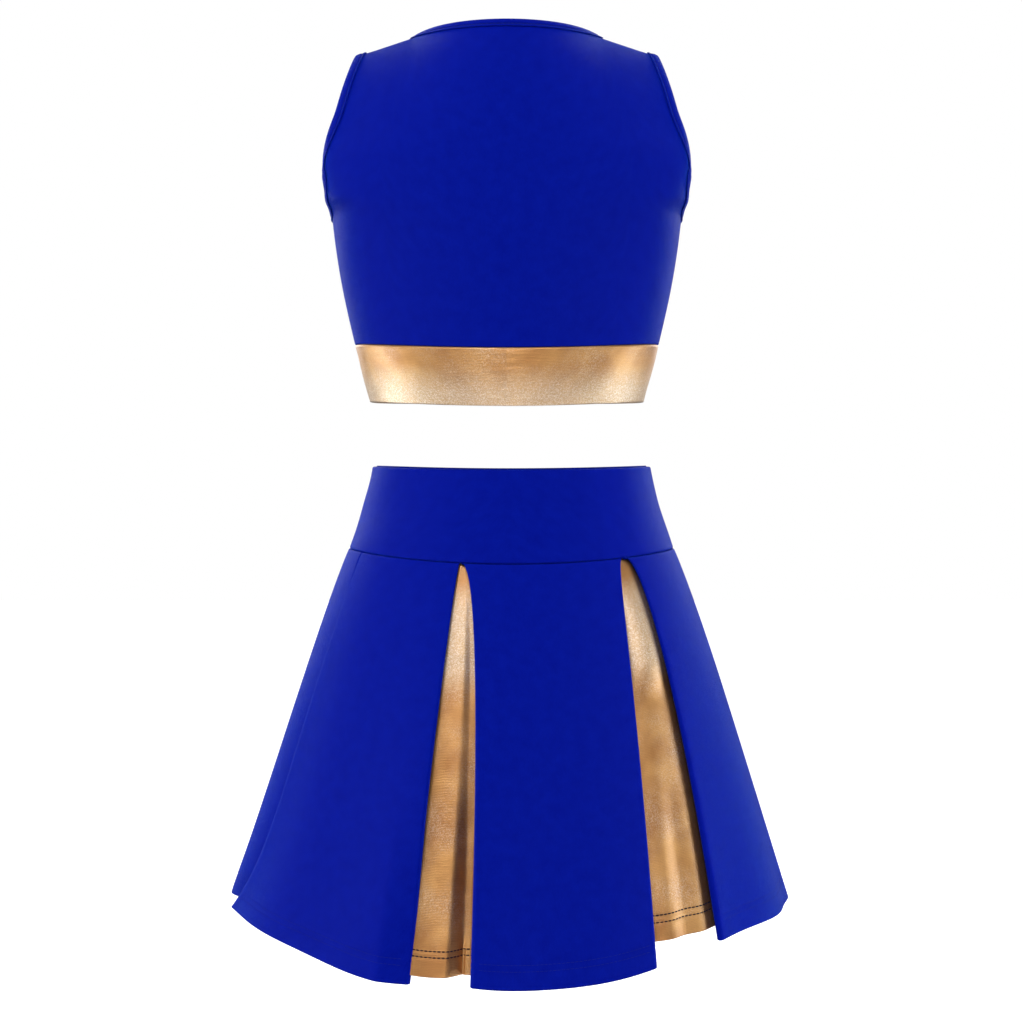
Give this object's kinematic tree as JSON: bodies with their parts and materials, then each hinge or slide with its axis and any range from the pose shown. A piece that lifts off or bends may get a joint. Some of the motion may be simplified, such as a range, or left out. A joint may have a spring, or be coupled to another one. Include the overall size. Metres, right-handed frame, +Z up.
{
  "type": "cheer uniform",
  "caption": "Sleeveless crop top with a metallic underbust band, above a flared skirt whose blue panels open over metallic pleat inserts.",
  "frame": {"origin": "centre of the waist opening, at the height of the waistband's top edge at the sides", "axes": "+Z up, the wearer's back faces -Y, the wearer's left side is at -X"},
  "size_m": [0.4795, 0.3788, 0.7736],
  "materials": {
    "royal_knit": "smooth stretch knit with a soft sheen",
    "lining_knit": "matt wrong side of the stretch knit",
    "gold_foil_knit": "metallic foil on a fine knit",
    "elastic": "woven elastic"
  },
  "bodies": {
    "skirt": {"waistband": "royal_knit", "waistband_facing": "lining_knit", "waist_elastic": "elastic", "skirt_panel_1": "royal_knit", "skirt_panel_2": "royal_knit", "skirt_panel_3": "royal_knit", "skirt_panel_4": "royal_knit", "skirt_panel_5": "royal_knit", "skirt_panel_6": "royal_knit", "gold_insert_1": "gold_foil_knit", "gold_insert_2": "gold_foil_knit", "gold_insert_3": "gold_foil_knit", "gold_insert_4": "gold_foil_knit", "gold_insert_5": "gold_foil_knit", "gold_insert_6": "gold_foil_knit"},
    "top": {"top_back_panel": "royal_knit", "top_front_panel": "royal_knit", "neck_binding": "royal_knit", "armhole_binding_left": "royal_knit", "armhole_binding_right": "royal_knit", "gold_band": "gold_foil_knit"}
  },
  "joints": [
    {"name": "top_lift", "type": "slide", "parent": "skirt", "child": "top", "axis": [0, 0, 1], "range_m": [0, 0.35]}
  ]
}
